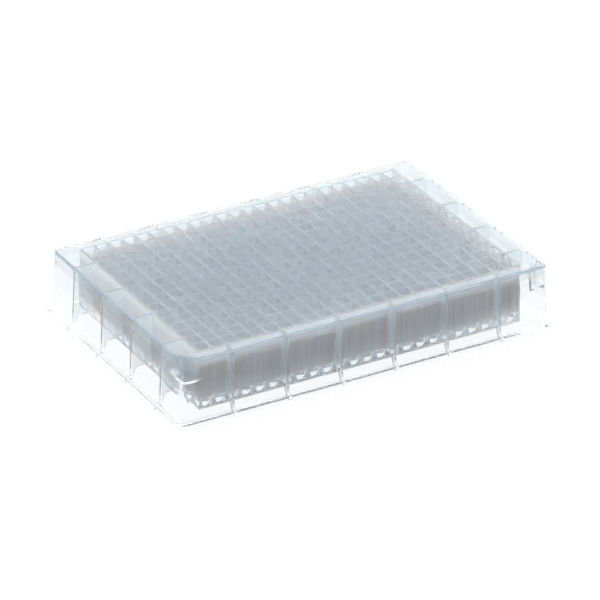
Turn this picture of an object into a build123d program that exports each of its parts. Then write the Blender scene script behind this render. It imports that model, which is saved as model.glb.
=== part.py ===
"""384-well deep-well plate: one clear injection moulding.

A drafted skirt wall stands on a low flange lip and carries a thin deck. A block of 24 x 16 square wells
hangs from the deck, flush with its top, and thin gusset ribs tie the block to the skirt. Two front corners
are keyed: the one beside column 1 is notched open, the one beside column 24 holds a triangular pocket.

The origin is the centre of the footprint, on the surface that the plate stands on. +X runs along the
columns 1 to 24, +Y towards row A, +Z up. All sizes are in millimetres.
"""

import os
from math import atan, degrees, sqrt

from build123d import *

# Footprint and flange: the standard microplate outline
plate_length = 127.76
plate_width = 85.48
plate_height = 21.0
flange_height = 2.41
flange_corner_radius = 3.18
lip_thickness = 1.1
ledge_thickness = 1.0
lip_edge_radius = 0.3

# Skirt wall and deck
ledge_width = 1.7
skirt_setback = 0.9  # how far the wall leans in from the ledge to the deck
skirt_corner_radius = 2.6
wall_thickness = 1.0
deck_thickness = 1.0
deck_edge_radius = 0.7

# Wells: square and tapered, with pyramid bottoms that end in a flat
columns = 24
rows = 16
well_pitch = 4.5
partition_thickness = 0.75  # between two wells, at their mouths
well_taper = 0.3  # how much narrower a well is at the top of its pyramid than at its mouth
well_tip = 1.8
pyramid_height = 1.6
well_floor = 0.3
block_wall = 0.75
block_clearance = 2.3  # from the table to the underside of the well block

# Gusset ribs between the block and the skirt, one at every fourth wall between wells
rib_step = 4
rib_thickness = 0.8
rib_underside = 4.8  # from the table to the edge of a rib beside the block
rib_clearance = 0.4  # from the table to the foot of a rib
rib_foot_inset = 0.9  # from the skirt's outer face to the inner edge of a rib's foot
rib_knee_inset = 3.2  # the same, at the level of the rib's underside
rib_knee_radius = 0.8
rib_overlap = 0.3  # how far a rib runs into the block

# Keyed front corners
key_leg = 5.4  # along each side, from the deck's corner to the end of the diagonal
key_depth = 6.4
key_wall = 1.0
key_blend_radius = 5.0

# Sizes that follow from the ones above
skirt_slope = skirt_setback / (plate_height - flange_height)
skirt_draft = degrees(atan(skirt_slope))
skirt_length = plate_length - 2 * ledge_width
skirt_width = plate_width - 2 * ledge_width
deck_underside = plate_height - deck_thickness
well_mouth = well_pitch - partition_thickness
well_throat = well_mouth - well_taper
block_length = (columns - 1) * well_pitch + well_mouth + 2 * block_wall
block_width = (rows - 1) * well_pitch + well_mouth + 2 * block_wall
well_depth = plate_height - block_clearance - well_floor
well_draft = degrees(atan((well_mouth - well_throat) / 2 / (well_depth - pyramid_height)))
pyramid_angle = degrees(atan((well_throat - well_tip) / 2 / pyramid_height))
rib_pitch = rib_step * well_pitch
key_floor = plate_height - key_depth


def skirt_volume(inset, top):
    """The drafted space inside the skirt, a given thickness in from its outer face, up to a height."""
    with BuildPart() as volume:
        with BuildSketch(Plane.XY.offset(flange_height)):
            RectangleRounded(skirt_length - 2 * inset, skirt_width - 2 * inset, skirt_corner_radius - inset)
        extrude(amount=top - flange_height, taper=skirt_draft)
    return volume.part


def rib(plane, block_half, plate_half):
    """One gusset rib, drawn on an upright plane whose X axis points from the block to the skirt."""
    skirt_half = plate_half - ledge_width
    lip_middle = plate_half - lip_thickness / 2
    ledge_middle = flange_height - ledge_thickness / 2
    deck_middle = plate_height - deck_thickness / 2
    wall_lean = skirt_slope * (deck_middle - flange_height)
    with BuildPart() as gusset:
        with BuildSketch(plane):
            with BuildLine():
                underside = FilletPolyline(
                    (block_half - rib_overlap, rib_underside),
                    (skirt_half - rib_knee_inset, rib_underside),
                    (skirt_half - rib_foot_inset, rib_clearance),
                    radius=rib_knee_radius,
                )
                Polyline(
                    underside @ 1,
                    (lip_middle, rib_clearance),
                    (lip_middle, ledge_middle),
                    (skirt_half - wall_thickness / 2, ledge_middle),
                    (skirt_half - wall_thickness / 2 - wall_lean, deck_middle),
                    (block_half - rib_overlap, deck_middle),
                    underside @ 0,
                )
            make_face()
        extrude(amount=rib_thickness / 2, both=True)
    return gusset.part


def key_prism(side, inset, bottom):
    """The triangular prism over a front corner, up to the deck, its diagonal moved in by an inset."""
    leg = key_leg + sqrt(2) * inset
    overhang = ledge_width + skirt_setback
    corner_x = plate_length / 2
    corner_y = plate_width / 2
    with BuildPart() as prism:
        with BuildSketch(Plane.XY.offset(bottom)):
            with BuildLine():
                Polyline(
                    (side * corner_x, -corner_y),
                    (side * corner_x, -corner_y + 2 * overhang + leg),
                    (side * (corner_x - 2 * overhang - leg), -corner_y),
                    close=True,
                )
            make_face()
        extrude(amount=plate_height - bottom)
    return prism.part


# One well, as the solid that is taken out of the block, standing on its mouth
with BuildPart() as well_core:
    with BuildSketch():
        Rectangle(well_mouth, well_mouth)
    extrude(amount=well_depth - pyramid_height, taper=well_draft)
    extrude(well_core.faces().sort_by(Axis.Z)[-1], amount=pyramid_height, taper=pyramid_angle)

# The two keyed corners: a wall across each, with a floor, and the pocket that stays inside the skirt
with BuildPart() as key_walls:
    for side in (-1, 1):
        add(key_prism(side, key_wall, key_floor - key_wall))
    add(skirt_volume(0, plate_height), mode=Mode.INTERSECT)

with BuildPart() as key_pocket:
    add(key_prism(1, 0, key_floor))
    add(skirt_volume(wall_thickness, plate_height), mode=Mode.INTERSECT)

# All the gusset ribs
with BuildPart() as ribs:
    with GridLocations(0, rib_pitch, 1, rows // rib_step):
        add(rib(Plane.XZ, block_length / 2, plate_length / 2))
    mirror(about=Plane.YZ)
    with GridLocations(rib_pitch, 0, columns // rib_step, 1):
        add(rib(Plane.YZ, block_width / 2, plate_width / 2))
    mirror(about=Plane.XZ)

with BuildPart() as well_plate:
    # Flange and skirt
    with BuildSketch():
        RectangleRounded(plate_length, plate_width, flange_corner_radius)
    extrude(amount=flange_height)
    fillet(well_plate.edges().group_by(Axis.Z)[-1], lip_edge_radius)
    add(skirt_volume(0, plate_height))

    # Hollow from below: inside the lip, through the ledge, then up to the deck
    with BuildSketch():
        RectangleRounded(
            plate_length - 2 * lip_thickness,
            plate_width - 2 * lip_thickness,
            flange_corner_radius - lip_thickness,
        )
    extrude(amount=flange_height - ledge_thickness, mode=Mode.SUBTRACT)
    with BuildSketch(Plane.XY.offset(flange_height)):
        RectangleRounded(
            skirt_length - 2 * wall_thickness,
            skirt_width - 2 * wall_thickness,
            skirt_corner_radius - wall_thickness,
        )
    extrude(amount=-flange_height, mode=Mode.SUBTRACT)
    add(skirt_volume(wall_thickness, deck_underside), mode=Mode.SUBTRACT)

    # Keyed corners
    add(key_walls.part)
    add(key_prism(-1, 0, key_floor), mode=Mode.SUBTRACT)
    add(key_pocket.part, mode=Mode.SUBTRACT)
    diagonal = well_plate.faces().filter_by(Plane(origin=(0, 0, 0), z_dir=(-1, -1, 0))).sort_by(Axis.X)[0]
    fillet(diagonal.edges().group_by(Axis.Z)[1], key_blend_radius)
    deck = well_plate.faces().sort_by(Axis.Z)[-1]
    fillet(deck.outer_wire().edges(), deck_edge_radius)

    # Well block and ribs
    with BuildSketch(Plane.XY.offset(block_clearance)):
        Rectangle(block_length, block_width)
    extrude(amount=plate_height - block_clearance)
    add(ribs.part)

    # Wells, sunk from the deck
    with Locations(Plane(origin=(0, 0, plate_height), z_dir=(0, 0, -1))):
        with GridLocations(well_pitch, well_pitch, columns, rows):
            add(well_core.part, mode=Mode.SUBTRACT)

well_plate.part.label = "well_plate"
os.makedirs("parts", exist_ok=True)
export_step(well_plate.part, "parts/well_plate.step")
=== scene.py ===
"""A clear deep-well plate on a pale studio floor.

The plate is one moulding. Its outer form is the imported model's own, and its 384 wells are worked out again
here with the rounded corners and soft pyramid bottoms that a mould leaves.
All lengths are in metres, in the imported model's frame.
"""

import math

import bpy
import numpy as np
from mathutils import Matrix, Vector
from mathutils.geometry import tessellate_polygon


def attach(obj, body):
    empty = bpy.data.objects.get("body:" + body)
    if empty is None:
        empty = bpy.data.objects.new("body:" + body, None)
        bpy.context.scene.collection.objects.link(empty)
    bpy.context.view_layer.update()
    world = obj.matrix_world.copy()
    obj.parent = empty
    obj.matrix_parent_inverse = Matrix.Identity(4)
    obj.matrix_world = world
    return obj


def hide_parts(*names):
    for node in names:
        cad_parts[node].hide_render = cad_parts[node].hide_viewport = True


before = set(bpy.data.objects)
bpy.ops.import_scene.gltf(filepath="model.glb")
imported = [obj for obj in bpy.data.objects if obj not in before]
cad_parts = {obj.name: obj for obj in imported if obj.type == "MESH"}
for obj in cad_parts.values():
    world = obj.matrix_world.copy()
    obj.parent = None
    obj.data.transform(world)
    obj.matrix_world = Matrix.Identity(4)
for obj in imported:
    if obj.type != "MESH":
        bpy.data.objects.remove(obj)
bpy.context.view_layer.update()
NODE = "well_plate"
BODY = "root"

bl_info = {
    "name": "Deep-well plate",
    "version": (1, 0, 0),
    "blender": (4, 5, 0),
    "location": "3D View > Sidebar > Well Plate",
    "description": "Builds a clear 384-well deep-well plate and the studio it stands in",
    "category": "Object",
}

WHITE = (1.0, 1.0, 1.0)

# The mesh
WELD = 2e-6  # points are rounded to this, and those that then meet are one vertex
ROUNDEST = 0.9  # largest corner radius of a ring, as a share of its half width
CORNER_STEPS = 2  # straight runs in the arc of a rounded corner
CORNER_ANGLE = math.radians(50)  # edges that turn less than this are shaded smooth

# The plastic's patterns: draw lines up the walls of the wells, and faint flow marks everywhere else
LINE_SCALE = 1400.0
LINE_STRETCH = 0.03  # how fast the pattern changes up a wall, as a share of how fast it does across it
LINE_DETAIL = 3.0
LINE_GRAIN = 0.6  # how rough the pattern's finer detail is
LINE_MIDDLE = 0.5  # the pattern's mean
LINE_LOW = 0.9  # share of a drawn wall's extra roughness that it has where the pattern is 0
LINE_RANGE = 0.4  # share that the pattern adds where it is 1
FLOW_SCALE = 60.0
FLOW_DETAIL = 2.0
FLOW_GRAIN = 0.5
FLOW_HEIGHT = 2.0  # as a share of the height of the draw lines
HAZE_ROUGHNESS = 0.6  # of the light that the haze sends back

# Where the plastic's zones end: levels above the table, and reaches from the middle of the plate
BLOCK_SKIN = 0.0005  # how far the block's outer walls stand out beyond the grid
OUTER_WALL = 0.001  # how far in from the grid's edge the outer walls reach
HAZE_START = 0.0042  # top of the pyramids, where the drawn walls start
HAZE_FULL = 0.0065  # the drawn walls have all of their roughness from here up
WALL_FULL = 0.012  # the outer walls have all of their haze from here up
MOUTH_START = 0.0165  # all the walls begin to clear towards the deck
MOUTH_END = 0.0185  # and are as clear as they get
UNDER_DECK = 0.0199  # just below the deck
EDGE_LEVEL = 0.0203  # the deck's edge is rounded above this level
DECK_LEVEL = 0.02098  # everything above this level is the deck's top face
RIB_REACH_X = 0.0605  # just inside the skirt
RIB_REACH_Y = 0.0393

# The studio
FLOOR_SIZE = 6.0
SHADE_INSET = 0.001  # how far in from the grid's edge the shade on the floor ends
SHADE_FADE = 0.012  # width of the shade's soft edge
FAR_SIDE = (0.4, 0.7, 0.6)  # direction of the bright side of the studio
GRADE_START = -0.2  # where the light starts to rise, as a cosine from that direction
GRADE_END = 0.8  # where it is brightest
SENSOR_WIDTH = 36.0  # of the camera, in millimetres
CLIP_START = 0.01
GLASS_BOUNCES = 64  # enough for a line of sight along a whole row of wells
DIFFUSE_BOUNCES = 12
INDIRECT_CLAMP = 10.0  # most that one sample of bounced light may add


# Sizes and colours that a user would change


def length(name, description, default):
    """A length in metres"""
    return bpy.props.FloatProperty(
        name=name, description=description, default=default, precision=5, unit="LENGTH", subtype="DISTANCE"
    )


def share(name, description, default):
    """A share from 0 to 1"""
    return bpy.props.FloatProperty(
        name=name, description=description, default=default, min=0, max=1, subtype="FACTOR"
    )


def colour(name, description, default):
    """A plain colour"""
    return bpy.props.FloatVectorProperty(
        name=name, description=description, default=default, min=0, max=1, subtype="COLOR"
    )


class WellSettings(bpy.types.PropertyGroup):
    """The grid of wells and the shape of one well"""

    columns: bpy.props.IntProperty(name="Columns", description="Wells along X", default=24, min=1)
    rows: bpy.props.IntProperty(name="Rows", description="Wells along Y", default=16, min=1)
    pitch: length("Pitch", "From one well to the next", 0.0045)
    mouth: length("Mouth", "Width of a well at the deck", 0.00375)
    throat: length("Throat", "Width of a well at the top of its pyramid", 0.00345)
    tip: length("Tip", "Width of the flat at a well's end", 0.0018)
    pyramid: length("Pyramid", "Height of the pyramid bottom", 0.0016)
    floor_level: length("Floor level", "Height of a well's end above the table", 0.0026)
    corner_radius: length("Corner radius", "Rounding of a well's upright corners", 0.00045)
    knee: length("Knee", "Height of the soft bend between a well's walls and its pyramid", 0.0004)


class PlasticSettings(bpy.types.PropertyGroup):
    """The clear plastic, and the haze that a drawn wall has, darker on the block's outer walls as painted
    shade
    """

    clarity: share("Clarity", "Share of light that passes a surface", 0.99)
    refraction: bpy.props.FloatProperty(
        name="Refractive index", description="How strongly the plastic bends light", default=1.49, min=1
    )
    tint: colour("Tint", "Colour of a surface", (0.97, 0.98, 0.99))
    depth_tint: colour("Depth tint", "Colour that a thick wall takes on", (0.3, 0.36, 0.39))
    density: bpy.props.FloatProperty(
        name="Density", description="How fast the depth tint builds up, for each metre", default=2.0, min=0
    )
    gloss_roughness: share("Skirt roughness", "Roughness of the polished skirt, deck and pyramids", 0.03)
    well_roughness: share("Well roughness", "Roughness of the drawn walls", 0.3)
    draw_depth: length("Draw lines", "Depth of the draw lines on the walls", 0.00002)
    cell_haze: share("Cell haze", "Haze of the walls between wells", 0.25)
    cell_colour: colour("Cell haze colour", "Colour of that haze", (0.80, 0.84, 0.87))
    cell_streaks: share("Cell streaks", "How much the draw lines change that haze", 0.3)
    mouth_share: share("Mouth haze", "Share of that haze that those walls keep near the deck", 0.1)
    # The outer walls' haze colour is darker than the cells': painted shade on the block's front and sides,
    # which are the same plastic
    wall_haze: share("Outer wall haze", "Haze of the walls around the block of wells", 0.7)
    wall_foot: share("Outer wall foot", "Share of that haze that those walls have at the pyramids", 0.5)
    wall_shade_colour: colour("Outer wall colour", "Colour of that haze", (0.54, 0.525, 0.52))
    wall_streaks: bpy.props.FloatProperty(
        name="Outer wall streaks", description="How much the draw lines change that haze", default=1.1, min=0
    )
    lattice_haze: share("Lattice haze", "Haze of the deck between the wells", 0.5)
    deck_haze: share("Deck haze", "Haze of the deck around the block of wells", 0.25)
    # On the deck's rounded edge this haze is partly a painted highlight: it is lit by the studio, and its
    # pale blue stands in for the band that the rounding reflects
    edge_highlight_haze: share("Deck edge haze", "Haze of the rounded edge of the deck", 0.7)
    rib_haze: share("Rib haze", "Haze of the ribs", 0.25)
    edge_colour: colour("Edge haze colour", "Colour of the haze in edges and ribs", (0.66, 0.75, 0.80))
    forward: share("Forward haze", "Share of the haze that lets light on through the wall", 0.9)


class StudioSettings(bpy.types.PropertyGroup):
    """Floor, light and camera"""

    floor_colour: colour("Floor colour", "Colour of the floor", (0.95, 0.95, 0.95))
    floor_glow: share("Floor glow", "Share of plain white in the floor, as the eye and glass see it", 0.95)
    dark_side: bpy.props.FloatProperty(
        name="Dark side", description="Brightness of the studio on the camera's side", default=0.0, min=0
    )
    bright_side: bpy.props.FloatProperty(
        name="Bright side", description="Brightness of the studio behind the plate", default=2.35, min=0
    )
    azimuth: bpy.props.FloatProperty(
        name="Azimuth",
        description="Camera's turn from the front",
        default=math.radians(-30.144),
        subtype="ANGLE",
    )
    elevation: bpy.props.FloatProperty(
        name="Elevation", description="Camera's height angle", default=math.radians(28.096), subtype="ANGLE"
    )
    roll: bpy.props.FloatProperty(
        name="Roll", description="Camera's lean", default=math.radians(0.393), subtype="ANGLE"
    )
    eye: bpy.props.FloatVectorProperty(
        name="Eye",
        description="Place of the camera",
        default=(-0.59822, -1.03055, 0.64276),
        subtype="TRANSLATION",
        unit="LENGTH",
    )
    focal_length: bpy.props.FloatProperty(
        name="Focal length", description="Camera's focal length in millimetres", default=272.8
    )


# Shader maths


class Signal:
    """An output socket that takes part in arithmetic: each operator adds a Math node"""

    def __init__(self, graph, socket):
        self.graph = graph
        self.socket = socket

    def _math(self, operation, *values):
        return self.graph.add("ShaderNodeMath", {"operation": operation}, dict(enumerate(values)))

    def __add__(self, other):
        return self._math("ADD", self, other)

    def __radd__(self, other):
        return self._math("ADD", other, self)

    def __sub__(self, other):
        return self._math("SUBTRACT", self, other)

    def __rsub__(self, other):
        return self._math("SUBTRACT", other, self)

    def __mul__(self, other):
        return self._math("MULTIPLY", self, other)

    def __rmul__(self, other):
        return self._math("MULTIPLY", other, self)

    def __lt__(self, other):
        return self._math("LESS_THAN", self, other)

    def __gt__(self, other):
        return self._math("GREATER_THAN", self, other)

    def __abs__(self):
        return self._math("ABSOLUTE", self)

    def __or__(self, other):
        return self._math("MAXIMUM", self, other)


class Graph:
    """A node tree that is written as expressions"""

    def __init__(self, tree):
        self.tree = tree
        tree.nodes.clear()

    def add(self, kind, settings=None, values=None, output=0):
        """A node of this kind: its settings first, then the values or links of its sockets

        Gives one of its outputs, or the node itself where it has none.
        """
        node = self.tree.nodes.new(kind)
        for name, value in (settings or {}).items():
            setattr(node, name, value)
        for name, value in (values or {}).items():
            socket = node.inputs[name]
            if isinstance(value, Signal):
                self.tree.links.new(value.socket, socket)
            else:
                socket.default_value = value
        return Signal(self, node.outputs[output]) if node.outputs else node


def opaque(rgb):
    """A plain colour as the four numbers that a socket takes"""
    return (*rgb, 1.0)


def new_material(name):
    """An empty material and the graph that writes it"""
    material = bpy.data.materials.new(name)
    material.use_nodes = True
    return material, Graph(material.node_tree)


# The plate


def packed_triangles(node):
    """The node's mesh as arrays, its loose triangles joined where their corners meet"""
    mesh = node.data
    mesh.calc_loop_triangles()
    points = np.empty(len(mesh.vertices) * 3)
    mesh.vertices.foreach_get("co", points)
    faces = np.empty(len(mesh.loop_triangles) * 3, int)
    mesh.loop_triangles.foreach_get("vertices", faces)
    grid, index = np.unique(np.round(points.reshape(-1, 3) / WELD), axis=0, return_inverse=True)
    faces = index.reshape(-1)[faces].reshape(-1, 3)
    whole = (faces != np.roll(faces, 1, axis=1)).all(axis=1)
    return grid * WELD, faces[whole]


def open_loops(faces):
    """The closed chains of edges that only one face uses, each in the other direction from its faces"""
    edges = np.stack([faces, np.roll(faces, -1, axis=1)], axis=2).reshape(-1, 2)
    known = {tuple(edge) for edge in edges.tolist()}
    after = {b: a for a, b in known if (b, a) not in known}
    loops = []
    while after:
        start, point = after.popitem()
        loop = [start]
        while point != start:
            loop.append(point)
            point = after.pop(point)
        loops.append(loop)
    return loops


def rounded_square(half, radius):
    """Points around a square with rounded corners

    Each corner is a quarter circle of this radius, about a point that lies half - radius from both axes.
    """
    angles = np.linspace(0, math.pi / 2, CORNER_STEPS + 1)
    corners = math.pi / 2 * np.arange(4)
    angle = (corners[:, None] + angles[None, :]).reshape(-1)
    centre = np.repeat(np.round(math.sqrt(2) * np.exp(1j * (corners + math.pi / 4))), CORNER_STEPS + 1)
    point = centre * (half - radius) + radius * np.exp(1j * angle)
    return np.stack([point.real, point.imag], axis=1)


def well_levels(wells, top):
    """Half width, corner radius and height of each ring of a well, from its mouth to its end

    The walls run straight from the mouth to the throat and the pyramid straight from the throat to the tip.
    The bend between them is cut off by a ring on each side of it, and one more ring lies close above the tip.
    """
    knee_level = wells.floor_level + wells.pyramid
    slope_wall = (wells.mouth - wells.throat) / 2 / (top - knee_level)
    slope_pyramid = (wells.throat - wells.tip) / 2 / wells.pyramid
    step = wells.knee / 2
    halves = np.array(
        [
            wells.mouth / 2,
            wells.throat / 2 + slope_wall * step,
            wells.throat / 2 - slope_pyramid * step,
            wells.tip / 2 + slope_pyramid * step,
            wells.tip / 2,
        ]
    )
    heights = np.array(
        [top, knee_level + step, knee_level - step, wells.floor_level + step, wells.floor_level]
    )
    radii = np.minimum(wells.corner_radius, ROUNDEST * halves)
    return halves, radii, heights


def well_cell(wells, top):
    """One well with the square of deck around it, as points and faces about the well's axis"""
    halves, radii, heights = well_levels(wells, top)
    rings = [rounded_square(half, radius) for half, radius in zip(halves, radii)]
    count = len(rings[0])
    mouth = rings[0]
    farther = np.abs(mouth) > np.abs(mouth[:, ::-1]) - WELD
    border = np.where(farther, np.sign(mouth) * wells.pitch / 2, mouth)  # moved out to the cell's edge
    rings = [border, *rings]
    heights = np.concatenate([[top], heights])
    points = np.concatenate([np.column_stack([ring, np.full(count, z)]) for ring, z in zip(rings, heights)])
    here = np.arange(count)
    there = np.roll(here, -1)
    band = np.stack([here, there, there + count, here + count], axis=1)
    quads = np.concatenate([band + count * level for level in range(len(rings) - 1)])
    end = here + count * (len(rings) - 1)
    return points, quads, end


def well_grid(wells, top):
    """All the wells: one well's points moved by whole pitches, to every place of the grid"""
    points, quads, end = well_cell(wells, top)
    x = (np.arange(wells.columns) - (wells.columns - 1) / 2) * wells.pitch
    y = (np.arange(wells.rows) - (wells.rows - 1) / 2) * wells.pitch
    places = np.stack(np.meshgrid(x, y, [0.0], indexing="ij"), axis=-1).reshape(-1, 3)
    shift = len(points) * np.arange(len(places))
    all_points = (places[:, None, :] + points[None, :, :]).reshape(-1, 3)
    all_quads = (quads[None, :, :] + shift[:, None, None]).reshape(-1, 4)
    all_ends = end[None, :] + shift[:, None]
    return all_points, all_quads, all_ends


def block_outline(wells):
    """The rectangle around the grid, with the points that the borders of its outer cells have"""
    side = wells.mouth / 2 - wells.corner_radius
    stops = np.array([-wells.pitch / 2, -side, side])

    def along(count):
        centres = (np.arange(count) - (count - 1) / 2) * wells.pitch
        return (centres[:, None] + stops[None, :]).reshape(-1)

    half_x = wells.columns * wells.pitch / 2
    half_y = wells.rows * wells.pitch / 2
    x, y = along(wells.columns), along(wells.rows)
    front = np.column_stack([x, np.full(len(x), -half_y)])
    right = np.column_stack([np.full(len(y), half_x), y])
    return np.concatenate([front, right, -front, -right])


def shell_and_deck(node, wells):
    """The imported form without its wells, closed again by a deck that is open over the grid"""
    points, faces = packed_triangles(node)
    top = points[:, 2].max()
    half = np.array([wells.columns - 1, wells.rows - 1]) * wells.pitch / 2 + wells.mouth / 2 + WELD
    on_deck = points[:, 2] > top - WELD
    in_wells = (np.abs(points[:, :2]) < half).all(axis=1) & (points[:, 2] > wells.floor_level - WELD)
    kept = faces[~(on_deck[faces].all(axis=1) | in_wells[faces].all(axis=1))]
    loops = [points[loop] for loop in open_loops(kept)]
    rectangle = block_outline(wells)
    rectangle = np.column_stack([rectangle, np.full(len(rectangle), top)])
    loops.sort(key=lambda loop: -np.ptp(loop[:, 0]))  # the outer loop first, then its holes
    polygon = [*loops, rectangle]
    deck = np.array(tessellate_polygon([loop.tolist() for loop in polygon]))
    deck_points = np.concatenate(polygon)
    a, b, c = (deck_points[deck[:, corner], :2] for corner in range(3))
    facing_down = np.cross(b - a, c - a) < 0
    deck[facing_down] = deck[facing_down][:, ::-1]
    return (points, kept), (deck_points, deck), top


def plate_mesh(name, node, wells):
    """The whole moulding as one closed mesh"""
    (shell_points, shell), (deck_points, deck), top = shell_and_deck(node, wells)
    grid_points, quads, ends = well_grid(wells, top)
    points = np.concatenate([shell_points, deck_points, grid_points])
    first_deck = len(shell_points)
    first_well = first_deck + len(deck_points)
    lattice, index = np.unique(np.round(points / WELD), axis=0, return_inverse=True)
    index = index.reshape(-1)
    faces = [
        *index[shell].tolist(),
        *index[deck + first_deck].tolist(),
        *index[quads + first_well].tolist(),
        *index[ends + first_well].tolist(),
    ]
    mesh = bpy.data.meshes.new(name)
    mesh.from_pydata((lattice * WELD).tolist(), [], faces)
    mesh.validate()
    mesh.update()
    return mesh


def finish_edges(piece):
    """Smooth shading that stops at true corners and leans on the larger faces"""
    mesh = piece.data
    mesh.shade_smooth()
    mesh.set_sharp_from_angle(angle=CORNER_ANGLE)
    weighted = piece.modifiers.new("Face weights", "WEIGHTED_NORMAL")
    weighted.keep_sharp = True


def soft_step(graph, value, start, end, low=0.0, high=1.0):
    """A value's smooth change from low, where it is at start, to high, where it is at end"""
    return graph.add(
        "ShaderNodeMapRange",
        {"interpolation_type": "SMOOTHSTEP"},
        {"Value": value, "From Min": start, "From Max": end, "To Min": low, "To Max": high},
        output="Result",
    )


def mix_shaders(graph, amount, first, second):
    """The second shader laid over the first by an amount"""
    return graph.add("ShaderNodeMixShader", values={0: amount, 1: first, 2: second}, output="Shader")


def place_axes(graph):
    """The three Object coordinates, and the vector that they make"""
    place = graph.add("ShaderNodeTexCoord", output="Object")
    split = graph.add("ShaderNodeSeparateXYZ", values={"Vector": place}, output="X")
    return place, *(Signal(graph, split.socket.node.outputs[axis]) for axis in "XYZ")


def noise(graph, place, scale, detail, grain):
    """A cloudy pattern from 0 to 1, with so many octaves of finer detail"""
    return graph.add(
        "ShaderNodeTexNoise", values={"Vector": place, "Scale": scale, "Detail": detail, "Roughness": grain}
    )


def frosted(graph, haze_colour, forward, normal):
    """Hazy plastic: some of the light comes back and the rest goes on through the wall, both scattered"""
    rgb = opaque(haze_colour)
    back = graph.add(
        "ShaderNodeBsdfPrincipled",
        values={"Base Color": rgb, "Roughness": HAZE_ROUGHNESS, "Normal": normal},
        output="BSDF",
    )
    through = graph.add("ShaderNodeBsdfTranslucent", values={"Color": rgb, "Normal": normal}, output="BSDF")
    return mix_shaders(graph, forward, back, through)


def clear_plastic(plastic, wells):
    """Clear moulded polypropylene: polished skirt and pyramids, and drawn walls that are streaked and hazy.
    The outer walls' darker haze is painted shade, and the pale haze on the deck's rounded edge is partly a
    painted highlight
    """
    material, graph = new_material("clear_polypropylene")
    place, x, y, z = place_axes(graph)

    # Each of these is 1 in one part of the plate and 0 elsewhere
    half_x = wells.columns * wells.pitch / 2
    half_y = wells.rows * wells.pitch / 2
    in_block = (abs(x) < half_x + BLOCK_SKIN) * (abs(y) < half_y + BLOCK_SKIN)
    between_walls = (abs(x) < half_x - OUTER_WALL) * (abs(y) < half_y - OUTER_WALL)
    in_ribs = (abs(x) < RIB_REACH_X) * (abs(y) < RIB_REACH_Y) * (z < UNDER_DECK)
    below_deck = z < DECK_LEVEL
    on_edge = below_deck * (z > EDGE_LEVEL)

    # Draw lines run up the walls, so their pattern is stretched along Z
    drawn = graph.add("ShaderNodeMapping", values={"Vector": place, "Scale": (1, 1, LINE_STRETCH)})
    lines = noise(graph, drawn, LINE_SCALE, LINE_DETAIL, LINE_GRAIN)
    flow = noise(graph, place, FLOW_SCALE, FLOW_DETAIL, FLOW_GRAIN)
    relief = lines * in_block + flow * (1 - in_block) * FLOW_HEIGHT
    normal = graph.add(
        "ShaderNodeBump",
        values={"Strength": 1.0, "Distance": plastic.draw_depth, "Height": relief},
        output="Normal",
    )
    drawn_walls = in_block * soft_step(graph, z, HAZE_START, HAZE_FULL)
    rougher = (plastic.well_roughness - plastic.gloss_roughness) * drawn_walls
    roughness = plastic.gloss_roughness + rougher * (LINE_LOW + LINE_RANGE * lines)
    surface = graph.add(
        "ShaderNodeBsdfPrincipled",
        values={
            "Base Color": opaque(plastic.tint),
            "Roughness": roughness,
            "IOR": plastic.refraction,
            "Transmission Weight": plastic.clarity,
            "Normal": normal,
        },
        output="BSDF",
    )

    # How much haze there is in the outer walls of the block, in all else of the block, and around the block
    low = soft_step(graph, z, MOUTH_START, MOUTH_END, 1.0, 0.0)
    streaks = lines - LINE_MIDDLE
    outer = (1 - between_walls) * low
    inner_haze = plastic.cell_haze * (low + (1 - low) * plastic.mouth_share)
    cells = (inner_haze + streaks * plastic.cell_streaks) * (1 - outer)
    cells = drawn_walls * (below_deck * cells + (1 - below_deck) * plastic.lattice_haze)
    upward = soft_step(graph, z, HAZE_START, WALL_FULL, plastic.wall_foot, 1.0)
    # The outer walls' haze takes the darker wall colour: painted shade on the block's front and sides
    walls = drawn_walls * below_deck * outer * (plastic.wall_haze * upward + streaks * plastic.wall_streaks)
    # The haze on the deck's rounded edge is partly a painted highlight, a pale band where the rounding
    # reflects the studio
    around = on_edge * plastic.edge_highlight_haze + (z > UNDER_DECK) * plastic.deck_haze + in_ribs * plastic.rib_haze
    edges = (1 - in_block) * around
    for amount, haze_colour in (
        (cells, plastic.cell_colour),
        (walls, plastic.wall_shade_colour),
        (edges, plastic.edge_colour),
    ):
        surface = mix_shaders(graph, amount, surface, frosted(graph, haze_colour, plastic.forward, normal))
    depth = graph.add(
        "ShaderNodeVolumeAbsorption",
        values={"Color": opaque(plastic.depth_tint), "Density": plastic.density},
        output="Volume",
    )
    graph.add("ShaderNodeOutputMaterial", values={"Surface": surface, "Volume": depth})
    return material


class OBJECT_OT_well_plate_moulding(bpy.types.Operator):
    """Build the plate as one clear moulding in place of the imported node"""

    bl_idname = "object.well_plate_moulding"
    bl_label = "Plate moulding"

    def execute(self, context):
        wells = context.scene.well_plate_wells
        plastic = context.scene.well_plate_plastic
        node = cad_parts[NODE]
        mesh = plate_mesh("plate_moulding", node, wells)
        piece = bpy.data.objects.new("plate_moulding", mesh)
        context.scene.collection.objects.link(piece)
        finish_edges(piece)
        mesh.materials.append(clear_plastic(plastic, wells))
        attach(piece, BODY)
        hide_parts(NODE)
        return {"FINISHED"}


# The studio


def light_path(graph, ray):
    """1 for rays of this kind and 0 for all others"""
    return graph.add("ShaderNodeLightPath", output=ray)


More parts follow.
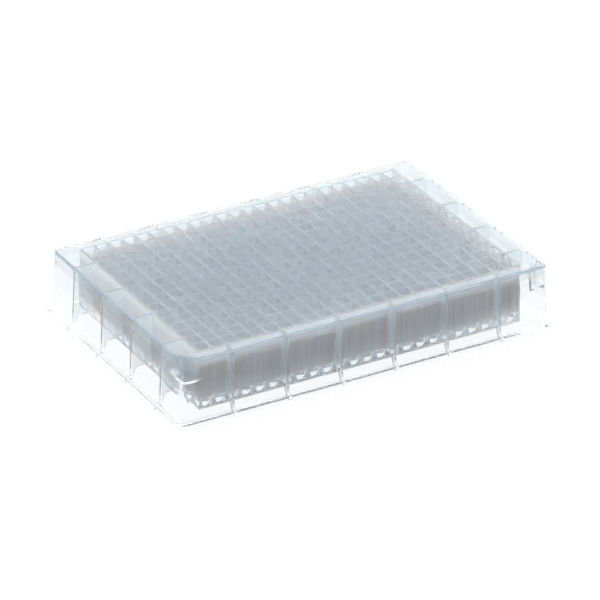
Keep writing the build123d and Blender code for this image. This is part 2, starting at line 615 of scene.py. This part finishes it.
def studio_floor(studio, wells):
    """A large pale sheet that the plate stands on, plain white but for a shade under the block of wells"""
    half = FLOOR_SIZE / 2
    corners = [(-half, -half, 0), (half, -half, 0), (half, half, 0), (-half, half, 0)]
    mesh = bpy.data.meshes.new("studio_floor")
    mesh.from_pydata(corners, [], [(0, 1, 2, 3)])
    floor = bpy.data.objects.new("studio_floor", mesh)
    bpy.context.scene.collection.objects.link(floor)
    material, graph = new_material("floor_white")
    matte = graph.add(
        "ShaderNodeBsdfPrincipled",
        values={"Base Color": opaque(studio.floor_colour), "Roughness": 1.0, "Specular IOR Level": 0.0},
        output="BSDF",
    )
    white = graph.add(
        "ShaderNodeEmission", values={"Color": opaque(WHITE), "Strength": 1.0}, output="Emission"
    )
    seen = light_path(graph, "Is Camera Ray") | light_path(graph, "Is Transmission Ray")
    seen = seen | light_path(graph, "Is Glossy Ray")
    # The floor's glow is taken away in a soft rectangle under the block of wells, a painted outline of the
    # plate's shadow; inside it the matte floor is shaded by the real light
    _, x, y, _ = place_axes(graph)
    reach_x = wells.columns * wells.pitch / 2 - SHADE_INSET
    reach_y = wells.rows * wells.pitch / 2 - SHADE_INSET
    beyond = (abs(x) - reach_x) | (abs(y) - reach_y)
    open_floor = soft_step(graph, beyond, -SHADE_FADE, 0.0)
    blend = mix_shaders(graph, seen * open_floor * studio.floor_glow, matte, white)
    graph.add("ShaderNodeOutputMaterial", values={"Surface": blend})
    mesh.materials.append(material)


def studio_world(studio):
    """White to the camera, and for the plate a soft change from its own side to the bright far side"""
    world = bpy.data.worlds.new("studio")
    world.use_nodes = True
    bpy.context.scene.world = world
    graph = Graph(world.node_tree)
    direction = graph.add("ShaderNodeTexCoord", output="Generated")
    far = Vector(FAR_SIDE).normalized()
    toward = graph.add(
        "ShaderNodeVectorMath", {"operation": "DOT_PRODUCT"}, {0: direction, 1: tuple(far)}, output="Value"
    )
    graded = soft_step(graph, toward, GRADE_START, GRADE_END, studio.dark_side, studio.bright_side)
    seen = light_path(graph, "Is Camera Ray")
    strength = seen + (1 - seen) * graded
    light = graph.add("ShaderNodeBackground", values={"Color": opaque(WHITE), "Strength": strength})
    graph.add("ShaderNodeOutputWorld", values={"Surface": light})


def studio_camera(studio):
    """The camera, by its turn, height angle and lean about the line that it looks along"""
    back = Vector(
        (
            math.sin(studio.azimuth) * math.cos(studio.elevation),
            -math.cos(studio.azimuth) * math.cos(studio.elevation),
            math.sin(studio.elevation),
        )
    )
    across = Vector((0, 0, 1)).cross(back).normalized()
    up = back.cross(across)
    turned = Matrix((across, up, back)).transposed().to_4x4() @ Matrix.Rotation(studio.roll, 4, "Z")
    data = bpy.data.cameras.new("studio_camera")
    data.lens = studio.focal_length
    data.sensor_width = SENSOR_WIDTH
    data.clip_start = CLIP_START
    camera = bpy.data.objects.new("studio_camera", data)
    bpy.context.scene.collection.objects.link(camera)
    camera.matrix_world = Matrix.Translation(studio.eye) @ turned
    bpy.context.scene.camera = camera


def light_paths(scene):
    """Enough bounces for a line of sight through many clear walls"""
    cycles = scene.cycles
    cycles.max_bounces = GLASS_BOUNCES
    cycles.transmission_bounces = GLASS_BOUNCES
    cycles.glossy_bounces = GLASS_BOUNCES
    cycles.transparent_max_bounces = GLASS_BOUNCES
    cycles.diffuse_bounces = DIFFUSE_BOUNCES
    cycles.blur_glossy = 0.0
    cycles.sample_clamp_indirect = INDIRECT_CLAMP


class SCENE_OT_well_plate_studio(bpy.types.Operator):
    """Set up the floor, the light and the camera"""

    bl_idname = "scene.well_plate_studio"
    bl_label = "Studio"

    def execute(self, context):
        studio = context.scene.well_plate_studio
        studio_floor(studio, context.scene.well_plate_wells)
        studio_world(studio)
        studio_camera(studio)
        light_paths(context.scene)
        context.scene.view_settings.view_transform = "Standard"
        return {"FINISHED"}


class VIEW3D_PT_well_plate(bpy.types.Panel):
    """The sizes and colours of the plate and its studio"""

    bl_label = "Well Plate"
    bl_space_type = "VIEW_3D"
    bl_region_type = "UI"
    bl_category = "Well Plate"

    def draw(self, context):
        scene = context.scene
        for title, settings, operator in (
            ("Wells", scene.well_plate_wells, OBJECT_OT_well_plate_moulding),
            ("Plastic", scene.well_plate_plastic, None),
            ("Studio", scene.well_plate_studio, SCENE_OT_well_plate_studio),
        ):
            box = self.layout.box()
            box.label(text=title)
            for name in settings.bl_rna.properties.keys():
                if name not in ("rna_type", "name"):
                    box.prop(settings, name)
            if operator:
                box.operator(operator.bl_idname)


SETTINGS = {
    "well_plate_wells": WellSettings,
    "well_plate_plastic": PlasticSettings,
    "well_plate_studio": StudioSettings,
}
CLASSES = (
    *SETTINGS.values(),
    OBJECT_OT_well_plate_moulding,
    SCENE_OT_well_plate_studio,
    VIEW3D_PT_well_plate,
)


def register():
    for cls in CLASSES:
        bpy.utils.register_class(cls)
    for name, cls in SETTINGS.items():
        setattr(bpy.types.Scene, name, bpy.props.PointerProperty(type=cls))


def unregister():
    for name in SETTINGS:
        delattr(bpy.types.Scene, name)
    for cls in reversed(CLASSES):
        bpy.utils.unregister_class(cls)


def main():
    register()
    bpy.ops.object.well_plate_moulding()
    bpy.ops.scene.well_plate_studio()


if __name__ == "__main__":
    main()
